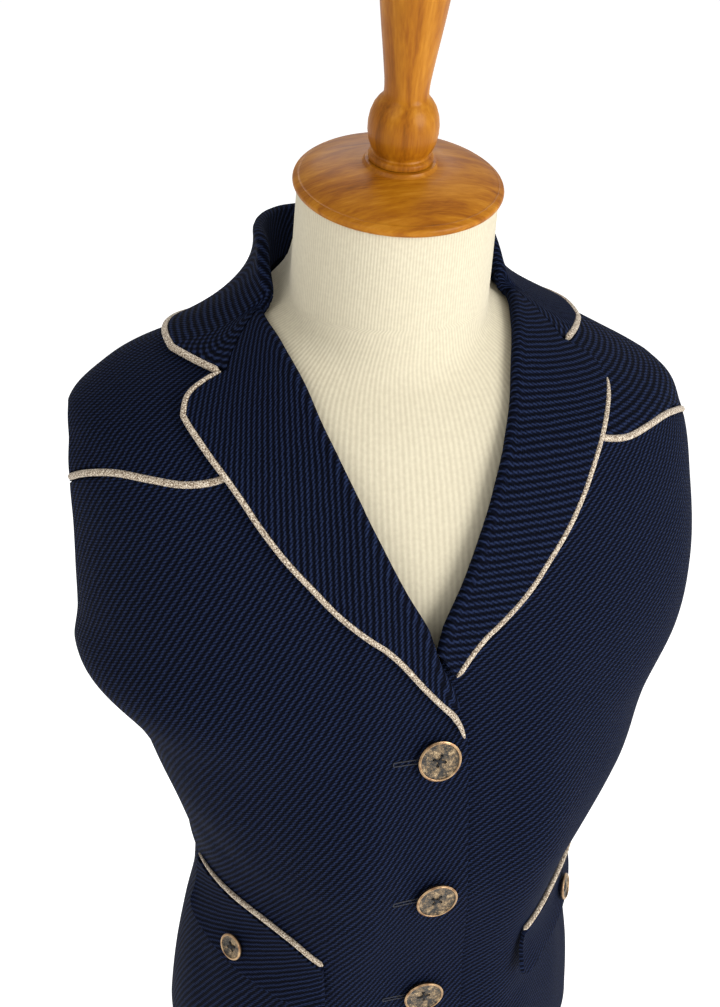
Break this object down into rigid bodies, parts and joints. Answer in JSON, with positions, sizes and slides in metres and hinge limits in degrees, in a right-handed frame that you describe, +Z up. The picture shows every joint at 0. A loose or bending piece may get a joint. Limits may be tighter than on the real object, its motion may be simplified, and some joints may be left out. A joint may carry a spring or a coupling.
{
  "type": "western vest on a dress form",
  "caption": "Fitted western vest with notched lapels, piped wavy yokes and pocket flaps, buttoned right over left on a limbless dress form with a round wooden base.",
  "frame": {"origin": "centre of the round base's underside, on the floor", "axes": "+Z up through the pole, the vest's front faces -Y, +X is the wearer's left"},
  "size_m": [0.377, 0.3196, 0.9883],
  "materials": {
    "navy_twill": "matte heavy diagonal twill",
    "oatmeal_piping": "matte corded piping with metallic flecks",
    "cream_jersey": "matte fine-ribbed jersey",
    "honey_wood": "satin varnish",
    "aged_brass": "aged and mottled, rim rubbed bright"
  },
  "bodies": {
    "root": {"form_torso": "cream_jersey", "neck_cap": "honey_wood", "finial": "honey_wood", "pole": "honey_wood", "base": "honey_wood", "front_left": "navy_twill", "front_right": "navy_twill", "yoke_left": "navy_twill", "yoke_right": "navy_twill", "back_left": "navy_twill", "back_right": "navy_twill", "lapel_left": "navy_twill", "lapel_right": "navy_twill", "collar": "navy_twill", "flap_left": "navy_twill", "flap_right": "navy_twill", "piping_yoke_left": "oatmeal_piping", "piping_yoke_right": "oatmeal_piping", "piping_lapel_left": "oatmeal_piping", "piping_lapel_right": "oatmeal_piping", "piping_collar": "oatmeal_piping", "piping_flap_left": "oatmeal_piping", "piping_flap_right": "oatmeal_piping", "button_front_1": "aged_brass", "button_front_2": "aged_brass", "button_front_3": "aged_brass", "button_flap_left": "aged_brass", "button_flap_right": "aged_brass"}
  },
  "joints": []
}
